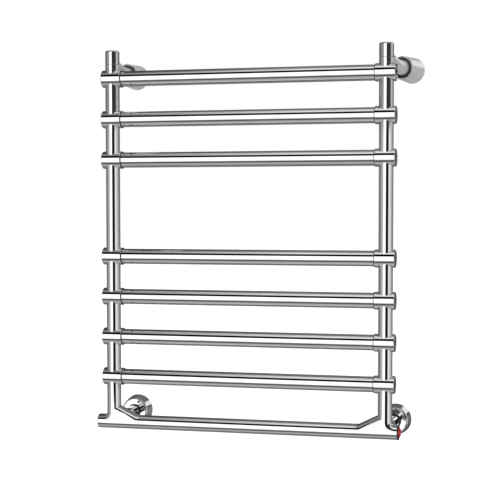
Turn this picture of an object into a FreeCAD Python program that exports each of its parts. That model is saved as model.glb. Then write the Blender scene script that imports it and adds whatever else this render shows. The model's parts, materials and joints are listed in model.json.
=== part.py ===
import FreeCAD, Part

import math
import os

# Electric towel warmer rack for a wall: seven horizontal rails between two posts, a heated
# bottom bar with a push switch in its right end, and four brackets to the wall.
# Frame: X to the right, +Y into the wall, +Z up, millimetres.
# Origin: on the wall plane, midway between the axes of the two lower brackets.

# Driving dimensions
POST_SPACING = 490.0          # between the post axes
WALL_DISTANCE = 130.0         # post axes to the wall plane
FIRST_RAIL = 81.1             # lowest rail above the bottom bar
RAIL_PITCH = 71.6
WIDE_GAP = 170.5              # the tall gap, above the fourth rail from the bottom
RAILS_BELOW_GAP = 4
RAIL_COUNT = 7
LOWER_BRACKET_RISE = 3.0      # lower bracket axis above the bottom bar
UPPER_BRACKET_RISE = 14.6     # upper bracket axis above the top rail
RIGHT_BRACKET_SWING = 12.0    # the right upper bracket is stored turned outwards, degrees

# Tubes
TUBE_R = 12.5                 # posts, bottom bar and castings
TUBE_BORE = 11.0
RAIL_R = 13.5
RAIL_BORE = 12.0
SLEEVE_R = 15.4
SLEEVE_INNER = 18.0           # inner end of a sleeve, from the post axis
SLEEVE_OUTER = 17.2           # its outer end
SLEEVE_ROUND = 1.2            # round edge of its outer end
SLEEVE_LIP = 2.6              # inward lip of the outer end, which holds the plug
LIP_THICKNESS = 0.8
PLUG_THICKNESS = 2.6
SEAL_STEP = 0.7               # the seal band is this much smaller than the sleeve
FIT = 0.05                    # radial clearance of parts that are pushed together
GAP = 0.3                     # clearance of parts that only pass each other
TUCK = 0.01                   # a flat face stays this far inside the round edge that it joins
EASE = 1 - math.sqrt(0.5)     # middle of a quarter round, as a part of its radius from the corner

# Bottom corners: a tee with a flat web in its inner angle
CORNER_TOP = 75.0             # top of the casting, inside the lowest sleeve
CORNER_INNER = 50.0           # joint with the bottom bar, from the post axis
CORNER_BORE = 9.0
LEFT_STUB = 26.5
RIGHT_STUB = 22.0
WEB_RUN = 42.0
WEB_RISE = 21.0
OUTER_FILLET = 5.0
SPIGOT_LENGTH = 12.0
SOCKET_R = 11.1               # counterbore in the stub ends
END_CAP_SOCKET = 8.0          # its depth for the end cap, on the left
SWITCH_SOCKET = 38.0          # its depth for the switch, on the right
LEAD_HOLE_R = 6.0             # from the corner into the lower arm

# Post tops
COLLAR_BOTTOM = 15.4          # above the top rail
COLLAR_TOP = 24.6
WASHER = 0.6
CAP_TOP = 50.0
CAP_SHANK_BOTTOM = 5.0

# Brackets
UPPER_ARM_R = 12.5
UPPER_ARM_BORE = 11.0
ARM_BORE_DEPTH = 60.0         # from the arm's wall end
LOWER_ARM_R = 10.5
LOWER_ARM_BORE = 9.0
ARM_SEAT = 1.2                # depth of the lower arm's seat in the corner's back
ARM_WEB_RUN = 42.0
ARM_WEB_RISE = 9.4
ARM_WEB_FRONT = 9.0           # the web stands clear of the cap, this far behind the post axis
PLATE = 4.0                   # thickness of a wall plate
DRUM_LENGTH = 55.0
DRUM_REAR = 2.0               # drums and rosettes stop this far from the wall
ROSETTE_LENGTH = 24.0
COVER_FIT = 0.08              # radial clearance of a cover on its arm
COVER_WALL = 2.0
COVER_FLOOR = 6.6             # thickness of a cover's closed end, which holds its ring
RING_SEAT = 3.0               # depth of the ring's seat in the cover's face
RING_INSET = 0.3
DRUM_SEAT_R = 17.0
ROSETTE_SEAT_R = 12.6
GRUB_R = 2.5
GRUB_SOCKET = 1.45            # centre to corner of its hexagon socket

# Switch, measured outwards from the end of the right stub
BEZEL_R = 12.9
BEZEL_FACE = 2.2
BEZEL_BARREL = 16.0
BUTTON_R = 8.5
BEZEL_LEDGE = -5.0            # the button's flange stops against this ledge in the bezel
FLANGE_ROOM = 1.7             # width of the space behind the ledge
FLANGE_WIDTH = 1.4
BUTTON_FLANGE = -7.5          # inner face of the button's flange, where its spring bears
STEM_R = 2.4
STEM_END = -17.0
SWITCH_FRONT = -16.0
SWITCH_STEP = -19.0
SWITCH_BACK = -34.0
SWITCH_BACK_R = 7.0
STEM_HOLE_R = 2.6
STEM_HOLE_DEPTH = 5.5

# Heating cable
CABLE_R = 2.5
CABLE_BEND = 9.0
CABLE_ENTRY_R = 8.0           # holes in the posts for the cable
CABLE_START = 48.0            # inwards from the right post axis

HALF = POST_SPACING / 2
RACK_Y = -WALL_DISTANCE
BAR_Z = -LOWER_BRACKET_RISE
RAIL_Z = [
    BAR_Z + FIRST_RAIL + i * RAIL_PITCH + (WIDE_GAP - RAIL_PITCH if i >= RAILS_BELOW_GAP else 0.0)
    for i in range(RAIL_COUNT)
]
TOP_Z = RAIL_Z[-1]
SIDES = {"left": -1, "right": 1}

V = FreeCAD.Vector
X, Y, Z = V(1, 0, 0), V(0, 1, 0), V(0, 0, 1)


def rod(start, axis, length, radius):
    return Part.makeCylinder(radius, length, start, axis)


def pipe(start, axis, length, outer, inner):
    return rod(start, axis, length, outer).cut(rod(start, axis, length, inner))


def turned(outline, start, axis):
    """Revolve (radius, height) points about an axis; a pair of points is an arc's middle and end."""
    def at(point):
        return V(point[0], 0, point[1])

    here = outline[0]
    edges = []
    for step in outline[1:] + outline[:1]:
        if isinstance(step[0], tuple):
            edges.append(Part.Arc(at(here), at(step[0]), at(step[1])).toShape())
            here = step[1]
        elif step != here:
            edges.append(Part.makeLine(at(here), at(step)))
            here = step
    solid = Part.Face(Part.Wire(edges)).revolve(V(0, 0, 0), Z, 360)
    solid.Placement = FreeCAD.Placement(start, FreeCAD.Rotation(Z, axis))
    return solid


def dome(rim_r, rim_height, rise):
    """Arc of a sphere centred on the axis, from a rim up to the pole, as its middle and end."""
    radius = (rim_r ** 2 + rise ** 2) / (2 * rise)
    half = math.asin(rim_r / radius) / 2
    pole = rim_height + rise
    return (radius * math.sin(half), pole - radius * (1 - math.cos(half))), (0, pole)


def plate(points, normal, half):
    """A flat plate of a closed outline, centred on the plane of its points."""
    face = Part.Face(Part.makePolygon(points + points[:1]))
    face.translate(normal * -half)
    return face.extrude(normal * (2 * half))


def web(corner, run, rise, radius):
    """Fill the angle between two tubes that start at a corner: a flat web with a round edge."""
    normal = run.cross(rise).normalize()
    slope = run - rise
    edge = rod(corner + rise, slope, slope.Length, radius)
    return plate([corner, corner + run, corner + rise], normal, radius - TUCK).fuse(edge)


def outer_fillet(radius):
    """The round inner angle between the post and the outward stub, at the local origin."""
    bend, thick = radius + TUBE_R, TUBE_R - TUCK
    elbow = Part.Face(Part.Wire(Part.makeCircle(thick, V(0, 0, bend), Z)))
    elbow = elbow.revolve(V(bend, 0, bend), Y, -90)
    inset = bend * EASE
    arc = Part.Arc(V(bend, 0, 0), V(inset, 0, inset), V(0, 0, bend)).toShape()
    sides = [Part.makeLine(V(0, 0, bend), V(0, 0, 0)), Part.makeLine(V(0, 0, 0), V(bend, 0, 0))]
    face = Part.Face(Part.Wire([arc] + sides))
    face.translate(Y * -thick)
    return face.extrude(Y * (2 * thick)).fuse(elbow)


def corner(side, stub, socket_depth):
    """Cast corner, built round the origin with the stub outwards along +X for both sides."""
    post_leg = rod(V(0, 0, 0), Z, CORNER_TOP, TUBE_R)
    bar_leg = rod(V(-CORNER_INNER, 0, 0), X, CORNER_INNER + stub, TUBE_R)
    body = bar_leg.fuse([
        post_leg,
        web(V(0, 0, 0), V(-WEB_RUN, 0, 0), V(0, 0, WEB_RISE), TUBE_R),
        outer_fillet(OUTER_FILLET),
        rod(V(0, 0, CORNER_TOP), Z, SPIGOT_LENGTH, TUBE_BORE - FIT),
        rod(V(-CORNER_INNER, 0, 0), -X, SPIGOT_LENGTH, TUBE_BORE - FIT),
    ])
    arm_seat = V(0, TUBE_R - ARM_SEAT, LOWER_BRACKET_RISE)
    body = body.cut([
        rod(V(0, 0, 0), Z, CORNER_TOP + SPIGOT_LENGTH, CORNER_BORE),
        rod(V(-CORNER_INNER - SPIGOT_LENGTH, 0, 0), X, 2 * CORNER_INNER + stub, CORNER_BORE),
        rod(V(stub, 0, 0), -X, socket_depth, SOCKET_R),
        rod(arm_seat, Y, TUBE_R, LOWER_ARM_R + FIT),
        rod(V(0, 0, LOWER_BRACKET_RISE), Y, TUBE_R, LEAD_HOLE_R),
        rod(V(0, 0, FIRST_RAIL), -X, TUBE_R, CABLE_ENTRY_R),
    ])
    return at_post(body.removeSplitter(), side, BAR_Z)


def at_post(shape, side, height):
    """Move a shape drawn with +X outwards from a post axis to its place on either side."""
    if side < 0:
        shape = shape.mirror(V(0, 0, 0), X)
    shape.translate(V(side * HALF, RACK_Y, height))
    return shape


def post(side):
    body = pipe(V(0, 0, BAR_Z + CORNER_TOP), Z, TOP_Z + COLLAR_BOTTOM - GAP / 2 - BAR_Z - CORNER_TOP,
                TUBE_R, TUBE_BORE)
    entries = [rod(V(0, 0, z), -X, TUBE_R, CABLE_ENTRY_R) for z in RAIL_Z]
    return at_post(body.cut(entries), side, 0)


def rail(z):
    body = pipe(V(-HALF, RACK_Y, z), X, POST_SPACING, RAIL_R, RAIL_BORE)
    posts = [
        rod(V(side * HALF, RACK_Y, z - SLEEVE_R), Z, 2 * SLEEVE_R, TUBE_R + FIT)
        for side in SIDES.values()
    ]
    return body.cut(posts)


def sleeve(side, z):
    """Short tube over the rail's end, split round the post, with a round outer edge and a lip."""
    rim = 0.6
    bore, fall = RAIL_R + FIT, SLEEVE_ROUND * EASE
    body = turned([
        (bore, -SLEEVE_INNER), (SLEEVE_R - rim, -SLEEVE_INNER), (SLEEVE_R, rim - SLEEVE_INNER),
        (SLEEVE_R, SLEEVE_OUTER - SLEEVE_ROUND),
        ((SLEEVE_R - fall, SLEEVE_OUTER - fall), (SLEEVE_R - SLEEVE_ROUND, SLEEVE_OUTER)),
        (bore - SLEEVE_LIP, SLEEVE_OUTER), (bore - SLEEVE_LIP, SLEEVE_OUTER - LIP_THICKNESS),
        (bore, SLEEVE_OUTER - LIP_THICKNESS),
    ], V(0, 0, 0), X)
    hole = rod(V(0, 0, -2 * SLEEVE_R), Z, 4 * SLEEVE_R, TUBE_R + FIT)
    return at_post(body.cut(hole), side, z)


def sleeve_plugs():
    """Stepped discs that fill the sleeves' outer ends, held behind the sleeves' lips."""
    plug_r, step, face = RAIL_R - SLEEVE_LIP, SLEEVE_OUTER - LIP_THICKNESS - FIT, SLEEVE_OUTER - GAP
    back = SLEEVE_OUTER - PLUG_THICKNESS
    plug = turned([(0, back), (RAIL_R, back), (RAIL_R, step), (plug_r, step), (plug_r, face), (0, face)],
                  V(0, 0, 0), X)
    return Part.makeCompound([at_post(plug.copy(), s, z) for s in SIDES.values() for z in RAIL_Z])


def sleeve_rings():
    thickness = 1.2
    band = pipe(V(-SLEEVE_INNER, 0, 0), -X, thickness, SLEEVE_R - SEAL_STEP, RAIL_R + FIT)
    return Part.makeCompound([at_post(band.copy(), s, z) for s in SIDES.values() for z in RAIL_Z])


def bottom_bar():
    length = POST_SPACING - 2 * CORNER_INNER
    return pipe(V(-length / 2, RACK_Y, BAR_Z), X, length, TUBE_R, TUBE_BORE)


def left_end_cap():
    face, edge, plug = 1.7, 1.0, END_CAP_SOCKET - 1
    body = turned([
        (0, -plug), (SOCKET_R - FIT, -plug), (SOCKET_R - FIT, 0), (TUBE_R, 0), (TUBE_R, face - edge),
        ((TUBE_R - EASE * edge, face - EASE * edge), (TUBE_R - edge, face)), (0, face),
    ], V(LEFT_STUB, 0, 0), X)
    return at_post(body, SIDES["left"], BAR_Z)


def post_cap(side):
    """A domed cap whose shank passes through the bracket's collar into the post."""
    shank = TUBE_BORE - 2 * FIT
    crown, shoulder = 0.6, 3.4
    fall = (shoulder - crown) * EASE
    under = COLLAR_TOP + WASHER
    body = turned([
        (0, CAP_SHANK_BOTTOM), (shank - 1, CAP_SHANK_BOTTOM), (shank, CAP_SHANK_BOTTOM + 1),
        (shank, under), (TUBE_R, under), (TUBE_R, CAP_TOP - shoulder),
        ((TUBE_R - fall, CAP_TOP - crown - fall), (TUBE_R - shoulder + crown, CAP_TOP - crown)),
        dome(TUBE_R - shoulder + crown, CAP_TOP - crown, crown),
    ], V(0, 0, 0), Z)
    return at_post(body, side, TOP_Z)


def cap_washers():
    washer = pipe(V(0, 0, COLLAR_TOP + FIT), Z, WASHER - FIT, TUBE_R - 0.3, TUBE_BORE)
    return Part.makeCompound([at_post(washer.copy(), side, TOP_Z) for side in SIDES.values()])


def grub_hole(arm_r, depth):
    """Axis of a grub screw, from below, through an arm and the hub inside it."""
    return rod(V(0, -depth, -arm_r - 1), Z, arm_r, GRUB_R + FIT)


def grub_screw(arm_r, hub_bore, depth):
    length = arm_r - hub_bore - GAP
    body = rod(V(0, -depth, GAP / 2 - arm_r), Z, length, GRUB_R)
    angles = [math.radians(angle) for angle in range(0, 360, 60)]
    centre = V(0, -depth, GAP / 2 - arm_r)
    corners = [centre + V(math.cos(a), math.sin(a), 0) * GRUB_SOCKET for a in angles]
    socket = Part.Face(Part.makePolygon(corners + corners[:1])).extrude(V(0, 0, length / 2))
    return body.cut(socket)


def wall_plate(flange_r, hub_r, hub_bore, hole_r, hole_circle, hub_length, depth):
    """Turned plate with a hub for the arm, three screw holes and its back on the wall plane."""
    edge = 0.8
    body = turned([
        (hub_bore, 0), (flange_r, 0), (flange_r, PLATE - edge), (flange_r - edge, PLATE),
        (hub_r, PLATE), (hub_r, PLATE + hub_length - edge), (hub_r - edge, PLATE + hub_length),
        (hub_bore, PLATE + hub_length),
    ], V(0, 0, 0), -Y)
    holes = [
        rod(V(hole_circle * math.cos(a), 0, hole_circle * math.sin(a)), -Y, PLATE, hole_r)
        for a in (math.radians(angle) for angle in (90, 210, 330))
    ]
    return body.cut(holes + [grub_hole(hub_r + 1, depth)])


def cover(front_r, back_r, length, arm_r, shoulder, seat_r):
    """Hollow bell that hides a wall plate, with a seat in its face for its ring; its mouth faces +Y."""
    fall = shoulder * EASE
    bore = arm_r + COVER_FIT
    return turned([
        (bore, RING_SEAT), (seat_r, RING_SEAT), (seat_r, 0), (front_r - shoulder, 0),
        ((front_r - fall, fall), (front_r, shoulder)),
        (back_r, length), (back_r - COVER_WALL, length), (front_r - COVER_WALL, COVER_FLOOR),
        (bore, COVER_FLOOR),
    ], V(0, -DRUM_REAR - length, 0), Y)


def cover_ring(arm_r, length, seat_r):
    """Flat seal ring in a cover's face, round the arm."""
    bore, rim, edge = arm_r + FIT, seat_r - FIT, 0.4
    return turned([
        (bore, RING_INSET + edge), (bore + edge, RING_INSET), (rim - edge, RING_INSET),
        (rim, RING_INSET + edge), (rim, RING_SEAT), (bore, RING_SEAT),
    ], V(0, -DRUM_REAR - length, 0), Y)


def upper_arm():
    """Collar, arm and web in one casting, round the post axis at the top rail's height."""
    axis = V(0, 0, UPPER_BRACKET_RISE)
    end = WALL_DISTANCE - PLATE - GAP
    collar_height = COLLAR_TOP - COLLAR_BOTTOM
    body = rod(axis, Y, end, UPPER_ARM_R).fuse([
        rod(V(0, 0, COLLAR_BOTTOM), Z, collar_height, TUBE_R),
        web(axis, V(0, ARM_WEB_RUN, 0), V(0, 0, ARM_WEB_RISE), UPPER_ARM_R),
    ])
    sleeve_corner = math.hypot(SLEEVE_INNER, SLEEVE_R) + GAP
    far = 4 * SLEEVE_R
    return body.cut([
        rod(V(0, 0, COLLAR_TOP), Z, far, TUBE_R + GAP),
        Part.makeBox(far, far, far, V(-far / 2, ARM_WEB_FRONT - far, COLLAR_TOP)),
        rod(V(0, 0, COLLAR_BOTTOM), -Z, far, sleeve_corner),
        rod(V(0, 0, 0), Z, far, TUBE_BORE - FIT),
        rod(V(0, end, UPPER_BRACKET_RISE), -Y, ARM_BORE_DEPTH, UPPER_ARM_BORE),
    ])


def lower_arm():
    start = TUBE_R - ARM_SEAT
    return pipe(V(0, start, 0), Y, WALL_DISTANCE - PLATE - GAP - start, LOWER_ARM_R, LOWER_ARM_BORE)


def heating_cable():
    """One cable from the switch along the bar, then up through every rail in turn."""
    levels = [BAR_Z] + RAIL_Z
    corners = [V(HALF - CABLE_START, RACK_Y, BAR_Z)]
    side = -1
    for low, high in zip(levels, levels[1:]):
        corners += [V(side * HALF, RACK_Y, low), V(side * HALF, RACK_Y, high)]
        side = -side
    corners.append(V(side * (HALF - CABLE_START), RACK_Y, TOP_Z))
    edges = []
    here = corners[0]
    for before, turn, after in zip(corners, corners[1:], corners[2:]):
        into = (turn - before).normalize()
        out = (after - turn).normalize()
        start = turn - into * CABLE_BEND
        end = turn + out * CABLE_BEND
        middle = turn + (out - into) * (CABLE_BEND * EASE)
        edges += [Part.makeLine(here, start), Part.Arc(start, middle, end).toShape()]
        here = end
    edges.append(Part.makeLine(here, corners[-1]))
    circle = Part.Wire(Part.makeCircle(CABLE_R, corners[0], X))
    return Part.Wire(edges).makePipeShell([circle], True, False)


def thermal_cutout():
    """Small can beside the cable in the bottom bar, just past the right corner's spigot."""
    can_r, edge, length = 3.0, 0.8, 14.0
    start = V(HALF - CORNER_INNER - SPIGOT_LENGTH - 2, RACK_Y, BAR_Z + CABLE_R + can_r + GAP)
    return turned([
        (0, 0), (can_r - edge, 0), (can_r, edge), (can_r, length - edge), (can_r - edge, length),
        (0, length),
    ], start, -X)


def switch_piece(outline):
    return at_post(turned(outline, V(RIGHT_STUB, 0, 0), X), SIDES["right"], BAR_Z)


def bezel():
    barrel, bore, rim = SOCKET_R - FIT, BUTTON_R + GAP, 0.7
    return switch_piece([
        (bore, BEZEL_LEDGE), (bore, BEZEL_FACE - 0.5), (bore + 0.5, BEZEL_FACE), (BEZEL_R - rim, BEZEL_FACE),
        ((BEZEL_R - EASE * rim, BEZEL_FACE - EASE * rim), (BEZEL_R, BEZEL_FACE - rim)),
        (BEZEL_R, 0), (barrel, 0), (barrel, -BEZEL_BARREL), (BUTTON_R + FLANGE_ROOM, -BEZEL_BARREL),
        (BUTTON_R + FLANGE_ROOM, BEZEL_LEDGE),
    ])


def button():
    rim, crown = 3.6, 2.6
    flange_r, flange_face = BUTTON_R + FLANGE_WIDTH, BEZEL_LEDGE - GAP
    return switch_piece([
        (0, STEM_END), (STEM_R, STEM_END), (STEM_R, BUTTON_FLANGE), (flange_r, BUTTON_FLANGE),
        (flange_r, flange_face), (BUTTON_R, flange_face), (BUTTON_R, rim), dome(BUTTON_R, rim, crown),
    ])


def switch_body():
    return switch_piece([
        (STEM_HOLE_R, SWITCH_FRONT), (SOCKET_R - FIT, SWITCH_FRONT), (SOCKET_R - FIT, SWITCH_STEP),
        (SWITCH_BACK_R, SWITCH_STEP), (SWITCH_BACK_R, SWITCH_BACK), (0, SWITCH_BACK),
        (0, SWITCH_FRONT - STEM_HOLE_DEPTH), (STEM_HOLE_R, SWITCH_FRONT - STEM_HOLE_DEPTH),
    ])


def switch_lamp():
    lamp_r, length = 1.4, 4.0
    body = turned([(0, 0), (lamp_r, 0), (lamp_r, length), dome(lamp_r, length, 0.9 * lamp_r)],
                  V(RIGHT_STUB + SWITCH_FRONT, 0, 6.5), X)
    return at_post(body, SIDES["right"], BAR_Z)


def switch_spring():
    """Coil spring as tilted half turns, each tangent to the next."""
    wire, coil, half_turns = 0.35, 4.2, 7
    low, high = SWITCH_FRONT + wire + FIT, BUTTON_FLANGE - wire - FIT
    pitch = (high - low) / half_turns
    reach = math.hypot(coil, pitch / 2)
    turns = []
    for i in range(half_turns):
        side = 1 if i % 2 == 0 else -1
        start, end = V(low + i * pitch, 0, side * coil), V(low + (i + 1) * pitch, 0, -side * coil)
        middle = (start + end) / 2 + V(0, side * reach, 0)
        turns.append(Part.Arc(start, middle, end).toShape())
    section = Part.Wire(Part.makeCircle(wire, V(low, 0, coil), Y))
    body = Part.Wire(turns).makePipeShell([section], True, False)
    body.translate(V(RIGHT_STUB, 0, 0))
    return at_post(body, SIDES["right"], BAR_Z)


def switch_terminals():
    length, thickness, width, spacing = 6.0, 0.8, 4.8, 7.0
    blades = []
    for offset in (-spacing / 2, spacing / 2):
        corner_point = V(RIGHT_STUB + SWITCH_BACK - length, offset - thickness / 2, -width / 2)
        blades.append(at_post(Part.makeBox(length, thickness, width, corner_point), SIDES["right"], BAR_Z))
    return Part.makeCompound(blades)


def cable_grommet(bore):
    """Lining of the lower plate's hub, through which the supply cable comes out of the wall."""
    hole_r, length, lip = 3.5, PLATE + 9, 1.2
    return turned([
        (hole_r, GAP), (bore - FIT, GAP), (bore - FIT, length - 1), (bore - lip, length), (hole_r, length),
    ], V(0, 0, 0), -Y)


def at_lower_bracket(shape, side):
    shape = shape.copy()
    shape.translate(V(side * HALF, 0, 0))
    return shape


def at_upper_bracket(shape, side):
    """Place a shape drawn on the wall plane's bracket axis; the right bracket is turned outwards."""
    shape = shape.copy()
    shape.translate(V(side * HALF, 0, TOP_Z + UPPER_BRACKET_RISE))
    if side > 0:
        shape.rotate(V(side * HALF, RACK_Y, 0), Z, -RIGHT_BRACKET_SWING)
    return shape


def bracket_parts():
    lower_hub_bore, upper_hub_bore, depth = 6.0, 7.0, 16.0
    lower_hub = LOWER_ARM_BORE - FIT
    upper_hub = UPPER_ARM_BORE - FIT
    lower_plate = wall_plate(22.4, lower_hub, lower_hub_bore, 2.25, 18.0, 20.0, depth)
    upper_plate = wall_plate(19.4, upper_hub, upper_hub_bore, 2.0, 15.8, 22.0, depth)
    rosette = cover(24.5, 28.0, ROSETTE_LENGTH, LOWER_ARM_R, 4.0, ROSETTE_SEAT_R)
    drum = cover(20.0, 22.9, DRUM_LENGTH, UPPER_ARM_R, 3.0, DRUM_SEAT_R)
    lower_tube = lower_arm()
    lower_tube.translate(V(0, RACK_Y, 0))
    upper_casting = upper_arm()
    upper_casting.translate(V(0, RACK_Y, -UPPER_BRACKET_RISE))
    nodes = {}
    grubs = []
    for name, side in SIDES.items():
        lower = {
            "lower_arm": lower_tube.cut(grub_hole(LOWER_ARM_R, depth)),
            "lower_wall_plate": lower_plate,
            "lower_rosette": rosette,
            "lower_rosette_ring": cover_ring(LOWER_ARM_R, ROSETTE_LENGTH, ROSETTE_SEAT_R),
        }
        upper = {
            "upper_arm": upper_casting.cut(grub_hole(UPPER_ARM_R, depth)),
            "upper_wall_plate": upper_plate,
            "upper_drum": drum,
            "upper_drum_ring": cover_ring(UPPER_ARM_R, DRUM_LENGTH, DRUM_SEAT_R),
            "upper_grub_screw": grub_screw(UPPER_ARM_R, upper_hub_bore, depth),
        }
        nodes.update({name + "_" + key: at_lower_bracket(shape, side) for key, shape in lower.items()})
        nodes.update({name + "_" + key: at_upper_bracket(shape, side) for key, shape in upper.items()})
        grubs.append(at_lower_bracket(grub_screw(LOWER_ARM_R, lower_hub_bore, depth), side))
    nodes["lower_grub_screws"] = Part.makeCompound(grubs)
    nodes["cable_grommet"] = at_lower_bracket(cable_grommet(lower_hub_bore), SIDES["right"])
    return nodes


def rack_parts():
    nodes = {
        "bottom_bar": bottom_bar(),
        "left_corner": corner(SIDES["left"], LEFT_STUB, END_CAP_SOCKET),
        "right_corner": corner(SIDES["right"], RIGHT_STUB, SWITCH_SOCKET),
        "left_end_cap": left_end_cap(),
        "sleeve_end_plugs": sleeve_plugs(),
        "sleeve_rings": sleeve_rings(),
        "post_cap_washers": cap_washers(),
    }
    for name, side in SIDES.items():
        nodes[name + "_post"] = post(side)
        nodes[name + "_post_cap"] = post_cap(side)
        for i, z in enumerate(RAIL_Z):
            nodes["%s_sleeve_%d" % (name, i + 1)] = sleeve(side, z)
    for i, z in enumerate(RAIL_Z):
        nodes["rail_%d" % (i + 1)] = rail(z)
    return nodes


def electric_parts():
    return {
        "heating_cable": heating_cable(),
        "thermal_cutout": thermal_cutout(),
        "switch_bezel": bezel(),
        "switch_button": button(),
        "switch_body": switch_body(),
        "switch_lamp": switch_lamp(),
        "switch_spring": switch_spring(),
        "switch_terminals": switch_terminals(),
    }


def main():
    os.makedirs("parts", exist_ok=True)
    nodes = {}
    for group in (rack_parts(), electric_parts(), bracket_parts()):
        nodes.update(group)
    for name, shape in nodes.items():
        shape.exportStep("parts/%s.step" % name)
        state = "ok" if shape.isValid() and all(s.isClosed() for s in shape.Shells) else "BAD"
        print("%-24s %s solids %2d volume %.1f" % (name, state, len(shape.Solids), shape.Volume))
    print(len(nodes), "nodes")


main()
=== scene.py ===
import json
import math

import bmesh
import bpy
from mathutils import Matrix, Vector


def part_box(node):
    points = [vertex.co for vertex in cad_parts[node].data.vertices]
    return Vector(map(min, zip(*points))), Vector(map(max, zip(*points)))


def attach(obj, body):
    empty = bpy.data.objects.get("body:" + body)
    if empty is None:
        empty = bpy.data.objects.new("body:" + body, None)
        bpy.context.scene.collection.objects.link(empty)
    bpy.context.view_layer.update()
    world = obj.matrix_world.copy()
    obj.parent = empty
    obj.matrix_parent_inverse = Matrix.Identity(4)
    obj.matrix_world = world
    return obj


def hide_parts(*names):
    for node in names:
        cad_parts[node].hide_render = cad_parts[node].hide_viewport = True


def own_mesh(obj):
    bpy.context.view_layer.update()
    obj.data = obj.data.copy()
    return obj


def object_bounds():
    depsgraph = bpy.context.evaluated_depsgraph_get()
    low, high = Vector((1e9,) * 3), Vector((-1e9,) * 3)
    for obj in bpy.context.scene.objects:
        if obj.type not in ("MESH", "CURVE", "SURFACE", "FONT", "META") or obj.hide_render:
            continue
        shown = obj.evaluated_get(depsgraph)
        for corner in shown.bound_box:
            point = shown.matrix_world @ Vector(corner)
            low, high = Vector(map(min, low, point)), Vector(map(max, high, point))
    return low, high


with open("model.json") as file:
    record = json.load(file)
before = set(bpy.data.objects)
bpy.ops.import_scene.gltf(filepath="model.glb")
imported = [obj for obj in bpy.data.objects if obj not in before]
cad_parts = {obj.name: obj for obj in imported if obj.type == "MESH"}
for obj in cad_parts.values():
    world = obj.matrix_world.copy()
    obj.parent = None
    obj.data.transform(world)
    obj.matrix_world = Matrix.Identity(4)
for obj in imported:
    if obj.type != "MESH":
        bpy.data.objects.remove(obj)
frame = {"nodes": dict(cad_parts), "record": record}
cad_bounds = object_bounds()
nodes = frame["nodes"]
record = frame["record"]
node_slot = {part["node"]: part["material_slot"] for part in record["subparts"]}

# ---------------------------------------------------------------- camera
CAMERA_PLACE = Vector((0.595, -2.310, 0.372))
CAMERA_YAW, CAMERA_PITCH, CAMERA_ROLL = 13.92, -2.78, -0.72   # degrees, from looking along +Y
CAMERA_LENS, CAMERA_SENSOR = 93.6, 36.0
CAMERA_SHIFT = (-0.0539, 0.054)

scene = bpy.context.scene
scene.view_settings.view_transform = "Standard"


def turn(degrees, axis):
    return Matrix.Rotation(math.radians(degrees), 4, axis)


def make_camera():
    data = bpy.data.cameras.new("camera")
    data.lens, data.sensor_width = CAMERA_LENS, CAMERA_SENSOR
    data.shift_x, data.shift_y = CAMERA_SHIFT
    camera = bpy.data.objects.new("camera", data)
    scene.collection.objects.link(camera)
    aim = turn(CAMERA_ROLL, "Y") @ turn(CAMERA_PITCH, "X") @ turn(CAMERA_YAW, "Z") @ turn(90, "X")
    camera.matrix_world = Matrix.Translation(CAMERA_PLACE) @ aim
    scene.camera = camera


# ---------------------------------------------------------------- node helpers
MIX_LOW, MIX_HIGH, MIX_RESULT = 6, 7, 2     # a mix node's colour sockets
BUMP_DEPTH = 0.0001                         # metres
WHITE = (1, 1, 1, 1)


class Tree:
    """Short calls for a node tree: add a node, and wire values or sockets into its inputs."""

    def __init__(self, tree):
        self.tree = tree
        tree.nodes.clear()

    def add(self, kind, settings=None, **inputs):
        node = self.tree.nodes.new(kind)
        for key, value in (settings or {}).items():
            setattr(node, key, value)
        for key, value in inputs.items():
            self.wire(node, key.replace("_", " "), value)
        return node

    def wire(self, node, name, value):
        socket = node.inputs[int(name) if name.isdigit() else name]
        if isinstance(value, bpy.types.NodeSocket):
            self.tree.links.new(value, socket)
        else:
            socket.default_value = value

    def math(self, operation, *values):
        node = self.add("ShaderNodeMath", {"operation": operation})
        for index, value in enumerate(values):
            self.wire(node, str(index), value)
        return node.outputs[0]

    def ramp(self, factor, stops):
        """Colour or grey level by place, from (place, level) stops."""
        node = self.add("ShaderNodeValToRGB", Fac=factor)
        elements = node.color_ramp.elements
        while len(elements) < len(stops):
            elements.new(0.5)
        for element, (place, level) in zip(elements, stops):
            element.position = place
            element.color = (*level, 1) if isinstance(level, tuple) else (level, level, level, 1)
        return node.outputs[0]

    def blend(self, factor, low, high):
        node = self.add("ShaderNodeMix", {"data_type": "RGBA"})
        self.wire(node, "Factor", factor)
        for index, value in ((MIX_LOW, low), (MIX_HIGH, high)):
            if isinstance(value, bpy.types.NodeSocket):
                self.tree.links.new(value, node.inputs[index])
            else:
                node.inputs[index].default_value = value
        return node.outputs[MIX_RESULT]

    def remap(self, value, span, levels=(0, 1)):
        """Straight step from one level to the other over a span of the value."""
        node = self.add("ShaderNodeMapRange", Value=value)
        names = ("From Min", "From Max", "To Min", "To Max")
        for name, number in zip(names, (*span, *levels)):
            self.wire(node, name, number)
        return node.outputs[0]

    def noise(self, vector, scale, detail=3.0):
        return self.add("ShaderNodeTexNoise", Vector=vector, Scale=scale, Detail=detail).outputs[0]

    def bump(self, strength, height):
        node = self.add("ShaderNodeBump", Distance=BUMP_DEPTH, Height=height)
        self.wire(node, "Strength", strength)
        return node.outputs[0]


def start_material(name):
    """A material with its tree, the object's own coordinates and a shader wired to the output."""
    material = bpy.data.materials.new(name)
    material.use_nodes = True
    tree = Tree(material.node_tree)
    place = tree.add("ShaderNodeTexCoord").outputs["Object"]
    shader = tree.add("ShaderNodeBsdfPrincipled")
    tree.add("ShaderNodeOutputMaterial", Surface=shader.outputs[0])
    return material, tree, place, shader


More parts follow.
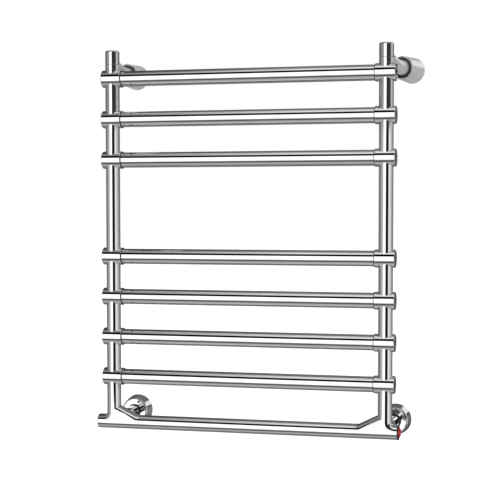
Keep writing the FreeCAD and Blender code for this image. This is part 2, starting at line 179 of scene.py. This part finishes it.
# ---------------------------------------------------------------- materials
# Scales of the patterns, in cycles per metre.
HAZE_SCALE = 22.0
SPOT_SCALE = 240.0
SATIN_GRAIN_SCALE = 1300.0
MOTTLE_SCALE = 160.0
TURNING_SCALE = 900.0
STEEL_CLOUD_SCALE = 80.0
GLASS_CLOUD_SCALE = 700.0
SPOT_CUTOFF = 0.7                           # noise above this is a water spot
SATIN_ENDS = (0.30, 0.42)                   # slope along the arm, over which satin turns into polish
SATIN_METALLIC, POLISHED_METALLIC = 0.55, 1.0
SATIN_BUMP = 0.5


def darker(tone, share):
    return tuple(share * c for c in tone)


def chrome(name, tone, roughness):
    """Polished plate: haze from wiping and small water spots in the roughness."""
    material, tree, place, shader = start_material(name)
    shader.inputs["Metallic"].default_value = 1.0
    haze = tree.noise(place, HAZE_SCALE, 4.0)
    tree.wire(shader, "Base Color", tree.ramp(haze, [(0.3, darker(tone, 0.95)), (0.7, tone)]))
    tree.wire(shader, "Roughness", hazy_roughness(tree, place, haze, roughness))
    return material


def hazy_roughness(tree, place, haze, roughness):
    low, high = roughness
    spots = tree.math("GREATER_THAN", tree.noise(place, SPOT_SCALE, 2.0), SPOT_CUTOFF)
    worn = tree.math("MULTIPLY_ADD", haze, high - low, low)
    return tree.math("MULTIPLY_ADD", spots, 0.5 * (high - low), worn)


def satin_chrome(name, tone):
    """Blasted plate with a fine grain on the sides, and polish on the faces across the arm's axis."""
    material, tree, place, shader = start_material(name)
    haze = tree.noise(place, HAZE_SCALE, 4.0)
    fine = tree.noise(place, SATIN_GRAIN_SCALE)
    grain = tree.ramp(fine, [(0.35, darker(tone, 0.82)), (0.65, tone)])
    normal = tree.add("ShaderNodeTexCoord").outputs["Normal"]
    along = tree.math("ABSOLUTE", tree.add("ShaderNodeSeparateXYZ", Vector=normal).outputs[1])
    polished = tree.remap(along, SATIN_ENDS)
    tree.wire(shader, "Base Color", tree.blend(polished, grain, (0.9, 0.9, 0.9, 1)))
    blasted = tree.math("MULTIPLY_ADD", haze, 0.12, 0.24)
    smooth = hazy_roughness(tree, place, haze, (0.02, 0.05))
    difference = tree.math("SUBTRACT", smooth, blasted)
    tree.wire(shader, "Roughness", tree.math("MULTIPLY_ADD", polished, difference, blasted))
    tree.wire(shader, "Metallic", tree.remap(polished, (0, 1), (SATIN_METALLIC, POLISHED_METALLIC)))
    tree.wire(shader, "Normal", tree.bump(tree.remap(polished, (0, 1), (SATIN_BUMP, 0)), fine))
    return material


def plastic(name, deep, light, roughness, grain_scale, grain, coat=0.0):
    """Moulded plastic: slight mottle in the colour and a fine moulded grain."""
    material, tree, place, shader = start_material(name)
    mottle = tree.noise(place, MOTTLE_SCALE)
    tree.wire(shader, "Base Color", tree.ramp(mottle, [(0.35, deep), (0.65, light)]))
    low, high = roughness
    tree.wire(shader, "Roughness", tree.math("MULTIPLY_ADD", mottle, high - low, low))
    shader.inputs["Coat Weight"].default_value = coat
    shader.inputs["Coat Roughness"].default_value = 0.05
    tree.wire(shader, "Normal", tree.bump(grain, tree.noise(place, grain_scale, 2.0)))
    return material


def turned_steel(name, tone):
    """Lathe-turned steel: fine rings across the face, seen as bands of roughness."""
    material, tree, place, shader = start_material(name)
    shader.inputs["Metallic"].default_value = 1.0
    rings = tree.add("ShaderNodeTexWave", {"wave_type": "BANDS", "bands_direction": "Z"},
                     Vector=place, Scale=TURNING_SCALE, Distortion=1.5, Detail=2.0).outputs[1]
    cloud = tree.noise(place, STEEL_CLOUD_SCALE)
    tree.wire(shader, "Base Color", tree.ramp(cloud, [(0.3, darker(tone, 0.85)), (0.7, tone)]))
    tree.wire(shader, "Roughness", tree.math("MULTIPLY_ADD", rings, 0.18, 0.24))
    tree.wire(shader, "Normal", tree.bump(0.15, rings))
    return material


def lamp_glass(name):
    """Clear neon lamp, faintly orange."""
    material, tree, place, shader = start_material(name)
    cloud = tree.noise(place, GLASS_CLOUD_SCALE, 2.0)
    deep, light = (0.95, 0.72, 0.66), (1.0, 0.86, 0.8)
    tree.wire(shader, "Base Color", tree.ramp(cloud, [(0.3, deep), (0.7, light)]))
    shader.inputs["Transmission Weight"].default_value = 0.8
    shader.inputs["Roughness"].default_value = 0.08
    return material


def grey(level):
    return (level, level, level)


def make_materials():
    return {
        "tube_chrome": chrome("tube_chrome", (0.90, 0.905, 0.91), (0.015, 0.045)),
        "cast_chrome": chrome("cast_chrome", (0.89, 0.895, 0.90), (0.02, 0.06)),
        "bracket_chrome": chrome("bracket_chrome", (0.88, 0.885, 0.89), (0.02, 0.06)),
        "satin_chrome": satin_chrome("satin_chrome", grey(0.93)),
        # Near-black for every ring in this slot; in the drum's face the widened ring is also painted
        # shade, standing in for the dark recess round the arm
        "seal_rubber": plastic("seal_rubber", grey(0.02), grey(0.04), (0.35, 0.5), 2500.0, 0.2),
        "plate_steel": turned_steel("plate_steel", (0.62, 0.63, 0.64)),
        "screw_steel": turned_steel("screw_steel", (0.52, 0.53, 0.54)),
        "black_plastic": plastic("black_plastic", grey(0.008), grey(0.016), (0.12, 0.24), 3000.0, 0.1),
        "red_plastic": plastic("red_plastic", (0.34, 0.003, 0.003), (0.52, 0.010, 0.008),
                               (0.06, 0.12), 1500.0, 0.05, coat=0.8),
        "cable_silicone": plastic("cable_silicone", (0.42, 0.09, 0.06), (0.55, 0.13, 0.09),
                                  (0.45, 0.6), 1800.0, 0.3),
        "cutout_case": turned_steel("cutout_case", grey(0.68)),
        "terminal_brass": turned_steel("terminal_brass", (0.75, 0.60, 0.32)),
        "lamp_glass": lamp_glass("lamp_glass"),
    }


# ---------------------------------------------------------------- studio
FLOOR_DROP = 0.55          # floor below the lowest part of the object
FLOOR_HALF = 30.0
# Brightness by angle in degrees. The belt turns about the vertical, from straight behind on the
# left, round the front (0), to straight behind on the right.
BELT = [
    (-180, 0.09), (-164, 0.08), (-154, 0.45), (-128, 0.45), (-120, 0.12), (-98, 0.16), (-76, 0.28),
    (-58, 0.46), (-34, 0.60), (-28, 1.35), (5, 1.35), (8, 0.01), (46, 0.01), (50, 0.76), (64, 0.88),
    (84, 0.72), (104, 0.44), (122, 0.28), (150, 0.20), (160, 0.08), (180, 0.09),
]
# The belt's upper part, where a black flag reaches further round to the right.
HIGH_BELT = [
    (-180, 0.09), (-120, 0.12), (-100, 0.15), (-80, 0.24), (-50, 0.34), (-34, 0.42), (-28, 1.35),
    (8, 1.35), (11, 0.03), (60, 0.04), (76, 0.10), (86, 0.46), (100, 0.62), (116, 0.42), (140, 0.14),
    (160, 0.08), (180, 0.09),
]
HIGH_BELT_STARTS = (0.060, 0.072)      # height on the unit sphere, over which the belts change
# The caps turn about the left-right axis: behind, below (-90), front (0), above (90), behind.
CAPS = [
    (-180, 0.14), (-150, 0.14), (-124, 0.22), (-106, 0.16), (-96, 0.18), (-86, 0.40), (-72, 0.48),
    (-62, 0.34), (-54, 0.20), (-49, 0.06), (-39, 0.06), (-34, 0.45), (-27, 0.50), (-24, 1.3), (26, 1.3),
    (29, 0.0), (54, 0.0), (60, 0.64), (70, 0.76), (80, 0.46), (92, 0.22), (112, 0.15), (150, 0.12),
    (180, 0.12),
]
CAPS_START = (0.40, 0.44)              # height, up or down, where the caps take over from the belt
OVERHEAD_START = 0.5                   # height above which the next two apply
OVERHEAD_FADE = (-0.35, -0.22)         # the overhead light dims towards the left over this span
OVERHEAD_LEVELS = (0.40, 1.25)
# One more soft box, behind the rack on its right and above it, which mostly its back mirrors.
REAR_BOX_DEPTH, REAR_BOX_SIDE = (0.20, 0.26), (0.12, 0.24)
REAR_BOX_BOTTOM, REAR_BOX_TOP = (0.20, 0.24), (0.50, 0.44)
REAR_BOX_COLOUR = (0.9, 0.9, 0.9, 1)


def ring_of_panels(tree, angle, stops):
    """Brightness from stops by angle, where the angle is given in radians."""
    turned = tree.math("DIVIDE", angle, 2 * math.pi)
    place = tree.math("ADD", turned, 0.5)
    return tree.ramp(place, [((degrees + 180) / 360, level) for degrees, level in stops])


def make_world():
    """Soft boxes and black flags as bands of the surroundings, for reflections; white to the eye."""
    world = bpy.data.worlds.new("studio")
    world.use_nodes = True
    scene.world = world
    tree = Tree(world.node_tree)
    direction = tree.add("ShaderNodeTexCoord").outputs["Generated"]
    x, y, z = tree.add("ShaderNodeSeparateXYZ", Vector=direction).outputs
    front = tree.math("MULTIPLY", y, -1.0)
    around = tree.math("ARCTAN2", x, front)
    over = tree.math("ARCTAN2", z, front)
    low_belt, high_belt = ring_of_panels(tree, around, BELT), ring_of_panels(tree, around, HIGH_BELT)
    belt = tree.blend(tree.remap(z, HIGH_BELT_STARTS), low_belt, high_belt)
    side_fade = tree.remap(x, OVERHEAD_FADE, OVERHEAD_LEVELS)
    fade = tree.math("POWER", side_fade, tree.math("GREATER_THAN", z, OVERHEAD_START))
    caps = tree.add("ShaderNodeVectorMath", {"operation": "SCALE"},
                    Vector=ring_of_panels(tree, over, CAPS), Scale=fade).outputs[0]
    panels = tree.blend(tree.remap(tree.math("ABSOLUTE", z), CAPS_START), belt, caps)
    inside = tree.remap(y, REAR_BOX_DEPTH)
    for value, span in ((x, REAR_BOX_SIDE), (z, REAR_BOX_BOTTOM), (z, REAR_BOX_TOP)):
        inside = tree.math("MULTIPLY", inside, tree.remap(value, span))
    panels = tree.blend(inside, panels, REAR_BOX_COLOUR)
    seen = tree.add("ShaderNodeLightPath").outputs["Is Camera Ray"]
    light = tree.add("ShaderNodeBackground", Color=tree.blend(seen, panels, WHITE), Strength=1.0)
    tree.add("ShaderNodeOutputWorld", Surface=light.outputs[0])


def make_floor(lowest):
    """Plain pale floor, lit but not mirrored in the chrome."""
    mesh = bpy.data.meshes.new("floor")
    corners = [(x * FLOOR_HALF, y * FLOOR_HALF, lowest - FLOOR_DROP)
               for x, y in ((-1, -1), (1, -1), (1, 1), (-1, 1))]
    mesh.from_pydata(corners, [], [(0, 1, 2, 3)])
    floor = bpy.data.objects.new("floor", mesh)
    scene.collection.objects.link(floor)
    material, tree, place, shader = start_material("floor_paint")
    cloud = tree.noise(place, 0.8, 2.0)
    tree.wire(shader, "Base Color", tree.ramp(cloud, [(0.3, 0.90), (0.7, 0.93)]))
    shader.inputs["Roughness"].default_value = 0.9
    shader.inputs["Specular IOR Level"].default_value = 0.1
    mesh.materials.append(material)
    floor.visible_glossy = False


def make_light():
    """Broad soft light from the front and above, for what isn't a mirror."""
    data = bpy.data.lights.new("soft_key", "SUN")
    data.energy, data.angle = 3.6, math.radians(70)
    light = bpy.data.objects.new("soft_key", data)
    scene.collection.objects.link(light)
    light.matrix_world = turn(-20, "Z") @ turn(22, "X")
    light.visible_glossy = False


# ---------------------------------------------------------------- mesh helpers
MM = 0.001
X, Y, Z = Vector((1, 0, 0)), Vector((0, 1, 0)), Vector((0, 0, 1))
ROUND = 96                 # segments round a tube
ARC = 8                    # segments along a small arc
SHARP = math.radians(28)
TINY = 1e-6


def finish_mesh(name, bm):
    bmesh.ops.remove_doubles(bm, verts=bm.verts, dist=TINY)
    bmesh.ops.recalc_face_normals(bm, faces=bm.faces)
    mesh = bpy.data.meshes.new(name)
    bm.to_mesh(mesh)
    bm.free()
    mesh.shade_smooth()
    mesh.set_sharp_from_angle(angle=SHARP)
    piece = bpy.data.objects.new(name, mesh)
    scene.collection.objects.link(piece)
    return piece


def add_piece(piece, body, slot, *replaced):
    """Give a piece its material, body, slot and the CAD nodes that it stands for."""
    piece.data.materials.clear()
    piece.data.materials.append(materials[slot])
    weighted = piece.modifiers.new("weighted", "WEIGHTED_NORMAL")
    weighted.keep_sharp = True
    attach(piece, body)
    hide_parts(*replaced)
    return piece


def arc_points(start, middle, end):
    """Points after the start on the circle through three points of an outline."""
    (ax, ay), (bx, by), (cx, cy) = start, middle, end
    d = 2 * (ax * (by - cy) + bx * (cy - ay) + cx * (ay - by))
    a2, b2, c2 = ax * ax + ay * ay, bx * bx + by * by, cx * cx + cy * cy
    ux = (a2 * (by - cy) + b2 * (cy - ay) + c2 * (ay - by)) / d
    uy = (a2 * (cx - bx) + b2 * (ax - cx) + c2 * (bx - ax)) / d
    radius = math.hypot(ax - ux, ay - uy)
    first = math.atan2(ay - uy, ax - ux)
    sweep = (math.atan2(cy - uy, cx - ux) - first + math.pi) % (2 * math.pi) - math.pi
    turns = [first + sweep * i / ARC for i in range(1, ARC)]
    return [(ux + radius * math.cos(t), uy + radius * math.sin(t)) for t in turns] + [end]


def outline_points(outline):
    """Plain points of an outline in which a pair of points is an arc's middle and end."""
    points = [outline[0]]
    for step in outline[1:]:
        if isinstance(step[0], tuple):
            points += arc_points(points[-1], step[0], step[1])
        else:
            points.append(step)
    return points


def lathe(name, outline, start, axis):
    """Revolve an outline of (radius, height) points in millimetres about an axis through start."""
    bm = bmesh.new()
    turn_to = axis.to_track_quat("Z", "Y").to_matrix()
    rings = []
    for radius, height in outline_points(outline):
        count = ROUND if radius > TINY else 1
        angles = [2 * math.pi * (i + 0.5) / ROUND for i in range(count)]
        spots = [Vector((radius * math.cos(a), radius * math.sin(a), height)) * MM for a in angles]
        rings.append([bm.verts.new(start + turn_to @ spot) for spot in spots])
    for ring, after in zip(rings, rings[1:] + rings[:1]):
        for i in range(ROUND):
            j = (i + 1) % ROUND
            corners = [ring[i % len(ring)], ring[j % len(ring)],
                       after[j % len(after)], after[i % len(after)]]
            face = list(dict.fromkeys(corners))
            if len(face) > 2:
                bm.faces.new(face)
    return finish_mesh(name, bm)


def cut(piece, cutter):
    """Take the cutter's shape out of a piece, and delete the cutter."""
    modifier = piece.modifiers.new("cut", "BOOLEAN")
    modifier.operation, modifier.solver, modifier.object = "DIFFERENCE", "EXACT", cutter
    bpy.context.view_layer.update()
    evaluated = piece.evaluated_get(bpy.context.evaluated_depsgraph_get())
    mesh = bpy.data.meshes.new_from_object(evaluated)
    piece.modifiers.clear()
    piece.data = mesh
    mesh.shade_smooth()
    mesh.set_sharp_from_angle(angle=SHARP)
    bpy.data.objects.remove(cutter)
    return piece


def middle_of(node):
    low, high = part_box(node)
    return (low + high) / 2


# ---------------------------------------------------------------- the object
# Sizes are in millimetres, apart from those read from the frame.
SIDES = {"left": -1, "right": 1}
CENTRE = Vector((0, 0, 0))
FALL = 1 - math.sqrt(0.5)  # how far the middle of a round edge lies inside its corner, per radius
TUBE_R, TUBE_BORE = 12.5, 11.0
TUBE_CHAMFER, BAR_CHAMFER = 0.3, 0.6
RAIL_R, RAIL_BORE = 13.5, 12.0
RAIL_COUNT = 7
RAIL_GAP = 0.5             # a rail ends this far short of its own radius from the post's axis
SLEEVE_R, SLEEVE_INNER, SLEEVE_OUTER = 15.4, 18.0, 17.2
SLEEVE_ROUND, SLEEVE_RIM = 1.2, 0.5
SLEEVE_FIT, POST_FIT = 0.05, 0.12
SLEEVE_LIP, LIP_THICKNESS = 2.6, 0.8
DRILL_REACH = 30.0         # either way from the sleeve's axis, well past its outside
CAP_FIT, CAP_EDGE = 0.1, 0.3
CAP_SHOULDER, CAP_CROWN = 3.4, 0.6
END_CAP_FACE, END_CAP_EDGE = 1.7, 1.2
CORNER_TOP, CORNER_INNER, CORNER_SOCKET_R = 75.0, 50.0, 11.1
SOCKET_DEPTH = {"left": 8.0, "right": 38.0}
WEB_RUN, WEB_RISE, OUTER_FILLET = 42.0, 21.0, 5.0
LOWER_ARM_R, LOWER_ARM_BORE = 10.5, 9.0
UPPER_ARM_R = 12.5
COVER_REAR = 2.0           # a cover stops this far from the wall
COVER_FIT, RING_FIT = 0.08, 0.05
COVER_WALL, COVER_FLOOR, COVER_EDGE = 2.0, 6.6, 0.2
REAR_EDGE_WIDE, REAR_EDGE_NARROW, REAR_EDGE_DEEP = 0.3, 0.6, 0.4
RING_SEAT, RING_INSET, RING_EDGE = 3.0, 0.3, 0.5
COVERS = {
    # front and back radius, length, arm radius, round edge of the face, radius of the ring's seat;
    # the drum's seat is wider and its edge sharper than in CAD, so that its near-black ring is also
    # painted shade for the recess round the arm
    "rosette": (24.5, 28.0, 24.0, LOWER_ARM_R, 4.0, 12.6),
    "drum": (20.0, 22.9, 55.0, UPPER_ARM_R, 1.6, 18.2),
}
SPRING_WIRE, SPRING_TURNS = 0.35, 3.5
SPRING_STEPS, SPRING_SIDES = 48, 12
HALF_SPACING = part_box("bottom_bar")[1].x / MM + CORNER_INNER
BAR = middle_of("bottom_bar")
mounts = {mount["name"]: mount for mount in record["mounts"]}


def post_axis(side, height=0.0):
    """Point of a post's axis, in metres."""
    return Vector((side * HALF_SPACING * MM, BAR.y, height))


def dress_cad_nodes():
    for name, node in nodes.items():
        node.data.materials.clear()
        node.data.materials.append(materials[node_slot[name]])


def tube(name, outer, bore, low, high, start, axis, chamfer=TUBE_CHAMFER):
    return lathe(name, [
        (bore, low), (outer - chamfer, low), (outer, low + chamfer), (outer, high - chamfer),
        (outer - chamfer, high), (bore, high),
    ], start, axis)


def make_tubes():
    for name, side in SIDES.items():
        low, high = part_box(name + "_post")
        post = tube(name + "_post_tube", TUBE_R, TUBE_BORE, low.z / MM, high.z / MM, post_axis(side), Z)
        add_piece(post, "rack", "tube_chrome", name + "_post")
    low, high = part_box("bottom_bar")
    bar = tube("bottom_bar_tube", TUBE_R, TUBE_BORE, low.x / MM, high.x / MM,
               Vector((0, BAR.y, BAR.z)), X, BAR_CHAMFER)
    add_piece(bar, "rack", "tube_chrome", "bottom_bar")
    reach = HALF_SPACING - RAIL_R - RAIL_GAP
    for number in range(1, RAIL_COUNT + 1):
        node = "rail_%d" % number
        rail = tube(node + "_tube", RAIL_R, RAIL_BORE, -reach, reach, middle_of(node), X)
        add_piece(rail, "rack", "tube_chrome", node)


def sleeve_mesh(side):
    """One sleeve round the origin, with its outer end towards the side, and a hole for the post."""
    bore, fall = RAIL_R + SLEEVE_FIT, SLEEVE_ROUND * FALL
    rim_fall = SLEEVE_RIM * FALL
    sleeve = lathe("sleeve", [
        (bore, -SLEEVE_INNER), (SLEEVE_R - SLEEVE_RIM, -SLEEVE_INNER),
        ((SLEEVE_R - rim_fall, rim_fall - SLEEVE_INNER), (SLEEVE_R, SLEEVE_RIM - SLEEVE_INNER)),
        (SLEEVE_R, SLEEVE_OUTER - SLEEVE_ROUND),
        ((SLEEVE_R - fall, SLEEVE_OUTER - fall), (SLEEVE_R - SLEEVE_ROUND, SLEEVE_OUTER)),
        (bore - SLEEVE_LIP, SLEEVE_OUTER), (bore - SLEEVE_LIP, SLEEVE_OUTER - LIP_THICKNESS),
        (bore, SLEEVE_OUTER - LIP_THICKNESS),
    ], CENTRE, X * side)
    drill = TUBE_R + POST_FIT
    hole = lathe("hole", [
        (0, -DRILL_REACH), (drill, -DRILL_REACH), (drill, DRILL_REACH), (0, DRILL_REACH),
    ], CENTRE, Z)
    return cut(sleeve, hole)


def make_sleeves():
    for name, side in SIDES.items():
        pattern = sleeve_mesh(side)
        for number in range(1, RAIL_COUNT + 1):
            node = "%s_sleeve_%d" % (name, number)
            sleeve = bpy.data.objects.new(node + "_casting", pattern.data.copy())
            scene.collection.objects.link(sleeve)
            sleeve.location = post_axis(side, middle_of("rail_%d" % number).z)
            add_piece(sleeve, "rack", "cast_chrome", node)
        bpy.data.objects.remove(pattern)


def make_post_caps():
    fall = (CAP_SHOULDER - CAP_CROWN) * FALL
    rim, spigot = TUBE_R - CAP_SHOULDER + CAP_CROWN, TUBE_BORE - CAP_FIT
    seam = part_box("post_cap_washers")[1].z / MM
    for name, side in SIDES.items():
        node = name + "_post_cap"
        low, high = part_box(node)
        foot, top = low.z / MM, high.z / MM
        cap = lathe(node + "_turned", [
            (0, foot), (spigot, foot), (spigot, seam), (TUBE_R - CAP_EDGE, seam),
            (TUBE_R, seam + CAP_EDGE), (TUBE_R, top - CAP_SHOULDER),
            ((TUBE_R - fall, top - CAP_CROWN - fall), (rim, top - CAP_CROWN)),
            ((rim / 2, top - CAP_CROWN / 4), (0, top)),
        ], post_axis(side), Z)
        add_piece(cap, "rack", "cast_chrome", node)


def make_end_cap():
    low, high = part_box("left_end_cap")
    foot = END_CAP_FACE - (high.x - low.x) / MM
    spigot, fall = CORNER_SOCKET_R - CAP_FIT, END_CAP_EDGE * FALL
    cap = lathe("left_end_cap_turned", [
        (0, foot), (spigot, foot), (spigot, 0), (TUBE_R, 0), (TUBE_R, END_CAP_FACE - END_CAP_EDGE),
        ((TUBE_R - fall, END_CAP_FACE - fall), (TUBE_R - END_CAP_EDGE, END_CAP_FACE)),
        (0, END_CAP_FACE),
    ], Vector((low.x + END_CAP_FACE * MM, BAR.y, BAR.z)), -X)
    add_piece(cap, "rack", "cast_chrome", "left_end_cap")


def cover(kind, node, plate_mount, body, slot):
    """Bell over a wall plate, with its mouth towards the wall, and the seal ring in its face; on the
    drum the near-black ring is both its seal and painted shade for the recess round the arm.
    """
    front_r, back_r, length, arm_r, shoulder, seat_r = COVERS[kind]
    fall, bore = shoulder * FALL, arm_r + COVER_FIT
    axis = Vector(mounts[plate_mount]["axis"])
    start = Vector(mounts[plate_mount]["pos_m"]) - axis * ((COVER_REAR + length) * MM)
    bell = lathe(node + "_turned", [
        (bore, RING_SEAT), (seat_r, RING_SEAT), (seat_r, COVER_EDGE), (seat_r + COVER_EDGE, 0),
        (front_r - shoulder, 0), ((front_r - fall, fall), (front_r, shoulder)),
        (back_r - REAR_EDGE_WIDE, length - REAR_EDGE_DEEP), (back_r - REAR_EDGE_NARROW, length),
        (back_r - COVER_WALL, length), (front_r - COVER_WALL, COVER_FLOOR), (bore, COVER_FLOOR),
    ], start, axis)
    add_piece(bell, body, slot, node)
    inner, rim = arm_r + RING_FIT, seat_r - RING_FIT
    edge_fall, edge_height = RING_EDGE * FALL, RING_INSET + RING_EDGE
    arc_height = RING_INSET + edge_fall
    # Seal ring; on the drum, wide and near-black, it is also painted shade for the dark recess round
    # the arm
    ring = lathe(node + "_seal", [
        (inner, RING_SEAT), (inner, edge_height),
        ((inner + edge_fall, arc_height), (inner + RING_EDGE, RING_INSET)),
        (rim - RING_EDGE, RING_INSET), ((rim - edge_fall, arc_height), (rim, edge_height)),
        (rim, RING_SEAT),
    ], start, axis)
    add_piece(ring, body, "seal_rubber", node + "_ring")


def make_bracket_covers():
    for name in SIDES:
        cover("rosette", name + "_lower_rosette", name + "_lower_plate_holes", name + "_rosette",
              "bracket_chrome")
        cover("drum", name + "_upper_drum", name + "_upper_plate_holes", name + "_drum", "satin_chrome")
        node = name + "_lower_arm"
        (low, high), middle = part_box(node), middle_of(node)
        arm = lathe(node + "_tube", [
            (LOWER_ARM_BORE, low.y / MM), (LOWER_ARM_R, low.y / MM),
            (LOWER_ARM_R, high.y / MM), (LOWER_ARM_BORE, high.y / MM),
        ], Vector((middle.x, 0, middle.z)), Y)
        add_piece(arm, "rack", "bracket_chrome", node)


def corner_columns(stub):
    """Base points and offsets round the outline of a plate with a round edge, and its flat's points."""
    bend = OUTER_FILLET + TUBE_R
    slope = Vector((-WEB_RISE, WEB_RUN)).normalized()
    up, down, out, back = Vector((0, 1)), Vector((0, -1)), Vector((1, 0)), Vector((-1, 0))
    lower = [(Vector((x, 0)), down) for x in (-CORNER_INNER, -WEB_RUN, bend, stub)]
    fillet_steps = 2 * ARC
    angles = [math.radians(270 - 90 * i / fillet_steps) for i in range(fillet_steps + 1)]
    fillet = [(Vector((bend, bend)) + bend * Vector((math.cos(a), math.sin(a))),
               Vector((-math.cos(a), -math.sin(a)))) for a in angles]
    upper = [(Vector((stub, 0)), up)] + fillet + [(Vector((0, CORNER_TOP)), out)]
    mitre_above = (back + slope) / (1 + back.dot(slope))
    mitre_below = (slope + up) / (1 + slope.dot(up))
    inner = [(Vector((0, CORNER_TOP)), back), (Vector((0, WEB_RISE)), mitre_above),
             (Vector((-WEB_RUN, 0)), mitre_below), (Vector((-CORNER_INNER, 0)), up)]
    flat = lower[1:3] + fillet + inner[1:2]
    return [lower, upper, inner], [base for base, offset in flat]


def corner_mesh(name, side, stub, socket_depth):
    """Cast corner: the round edge swept along its outline, flat front and back, and open stub."""
    bm = bmesh.new()
    half_round = ROUND // 2
    rows = [math.radians(-90 + 180 * i / half_round) for i in range(half_round + 1)]
    runs, flat = corner_columns(stub)

    def at(base, offset, angle):
        spot = base + offset * (TUBE_R * math.cos(angle))
        return bm.verts.new(Vector((side * spot.x, TUBE_R * math.sin(angle), spot.y)) * MM)

    columns = [[[at(base, offset, angle) for angle in rows] for base, offset in run] for run in runs]
    for run in columns:
        for column, after in zip(run, run[1:]):
            for i in range(len(rows) - 1):
                bm.faces.new((column[i], column[i + 1], after[i + 1], after[i]))
    points = list(dict.fromkeys((round(p.x, 6), round(p.y, 6)) for p in flat))
    for front in (-1, 1):
        bm.faces.new([bm.verts.new(Vector((side * x, front * TUBE_R, z)) * MM) for x, z in points])
    lower, upper, inner = columns
    for first, second in ((upper[-1], inner[0]), (inner[-1], lower[0])):
        bm.faces.new(first[:-1] + second[::-1][:-1])
    rim = lower[-1][:-1] + upper[0][::-1][:-1]
    for scale, place in ((CORNER_SOCKET_R / TUBE_R, stub), (1.0, stub - socket_depth)):
        ring = [bm.verts.new(Vector((side * place * MM, v.co.y * scale, v.co.z * scale))) for v in rim]
        for i, vert in enumerate(rim):
            j = (i + 1) % len(rim)
            bm.faces.new((vert, rim[j], ring[j], ring[i]))
        rim = ring
    bm.faces.new(rim)
    return finish_mesh(name, bm)


def make_corners():
    for name, side in SIDES.items():
        node = name + "_corner"
        low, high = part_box(node)
        end = (high.x if side > 0 else -low.x) / MM
        corner = corner_mesh(node + "_casting", side, end - HALF_SPACING, SOCKET_DEPTH[name])
        corner.location = post_axis(side, BAR.z)
        add_piece(corner, "rack", "cast_chrome", node)


def make_switch():
    """Bezel with its barrel, and the button with its flange, stem and domed front."""
    stub_end = Vector((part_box("right_corner")[1].x, BAR.y, BAR.z))
    bezel = lathe("switch_bezel_ring", [
        (8.8, -5), (8.8, 1.7), ((8.95, 2.05), (9.3, 2.2)),      # mouth and its round edge
        (12.2, 2.2), ((12.7, 2.0), (12.9, 1.5)), (12.9, 0),     # face and outer edge
        (11.05, 0), (11.05, -16), (10.2, -16), (10.2, -5),      # barrel inside the corner
    ], stub_end, X)
    add_piece(bezel, "rack", "black_plastic", "switch_bezel")
    button = lathe("switch_button_lens", [
        (0, -17), (2.4, -17), (2.4, -7.5),                      # stem
        (9.9, -7.5), (9.9, -5.3), (8.5, -5.3),                  # flange behind the bezel
        (8.5, 3.2), ((8.35, 3.55), (8.0, 3.8)), ((4.1, 5.6), (0, 6.2)),
    ], stub_end, X)
    add_piece(button, "button", "red_plastic", "switch_button")


def make_spring():
    """Coil spring under the button, built at one fixed length."""
    low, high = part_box("switch_spring")
    centre, length, wire = (low + high) / 2, high.x - low.x, SPRING_WIRE * MM
    coil = (high.z - low.z) / 2 - wire
    steps = int(SPRING_TURNS * SPRING_STEPS)
    spokes = [2 * math.pi * (j + 0.5) / SPRING_SIDES for j in range(SPRING_SIDES)]
    bm = bmesh.new()
    rings = []
    for i in range(steps + 1):
        angle = 2 * math.pi * i / SPRING_STEPS
        radial = Vector((0, math.sin(angle), math.cos(angle)))
        hub = Vector((low.x + wire + (length - 2 * wire) * i / steps, centre.y, centre.z))
        offsets = [radial * (coil + wire * math.cos(a)) + X * (wire * math.sin(a)) for a in spokes]
        rings.append([bm.verts.new(hub + offset) for offset in offsets])
    for ring, after in zip(rings, rings[1:]):
        for j in range(SPRING_SIDES):
            k = (j + 1) % SPRING_SIDES
            bm.faces.new((ring[j], ring[k], after[k], after[j]))
    bm.faces.new(rings[0])
    bm.faces.new(rings[-1])
    spring = add_piece(finish_mesh("switch_spring_coil", bm), "rack", "screw_steel", "switch_spring")
    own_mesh(spring)


make_camera()
make_world()
make_floor(cad_bounds[0].z)
make_light()
materials = make_materials()
dress_cad_nodes()
make_tubes()
make_sleeves()
make_post_caps()
make_end_cap()
make_corners()
make_bracket_covers()
make_switch()
make_spring()
